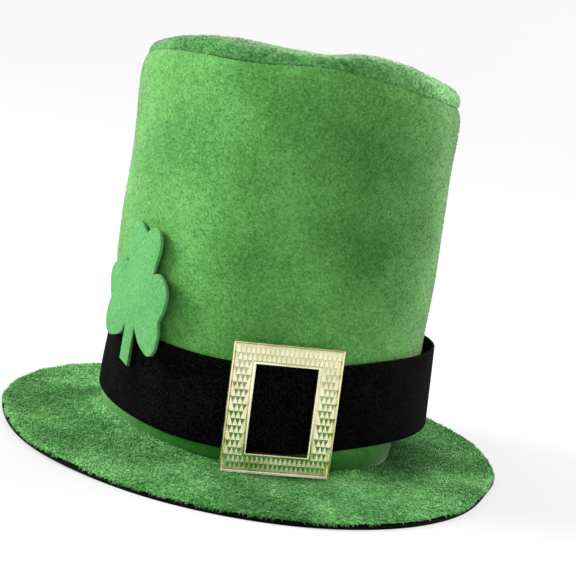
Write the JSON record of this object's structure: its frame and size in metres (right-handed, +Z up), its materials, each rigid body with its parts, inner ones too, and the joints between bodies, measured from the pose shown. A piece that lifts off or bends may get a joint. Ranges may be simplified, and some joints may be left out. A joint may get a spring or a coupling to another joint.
{
  "type": "leprechaun hat",
  "caption": "Tall plush costume top hat with a puffed crown, flat two-layer brim, loose felt band, studded frame buckle and a flat shamrock.",
  "frame": {"origin": "on the surface the hat stands on, under the middle of the brim's outline", "axes": "+Z up through the crown, -Y to the front where the buckle is, +X to the right seen from the front"},
  "size_m": [0.2891, 0.3103, 0.2266],
  "materials": {
    "plush_crown": "green short-pile velour plush, soft sheen towards the outline",
    "plush_panel": "the same velour plush, a little cooler and darker on the top panel",
    "plush_brim": "the same velour plush with a longer, ragged pile at the rim",
    "felt_under": "matte black pressed felt",
    "felt_band": "matte black felt band with a cut edge",
    "gold_plastic": "pale gold metallised moulded plastic with studs",
    "felt_green": "light green die-cut felt, 3 mm thick"
  },
  "bodies": {
    "root": {"crown_side": "plush_crown", "crown_top": "plush_panel", "brim_top": "plush_brim", "brim_under": "felt_under", "hat_band": "felt_band", "buckle": "gold_plastic", "shamrock": "felt_green"}
  },
  "joints": []
}
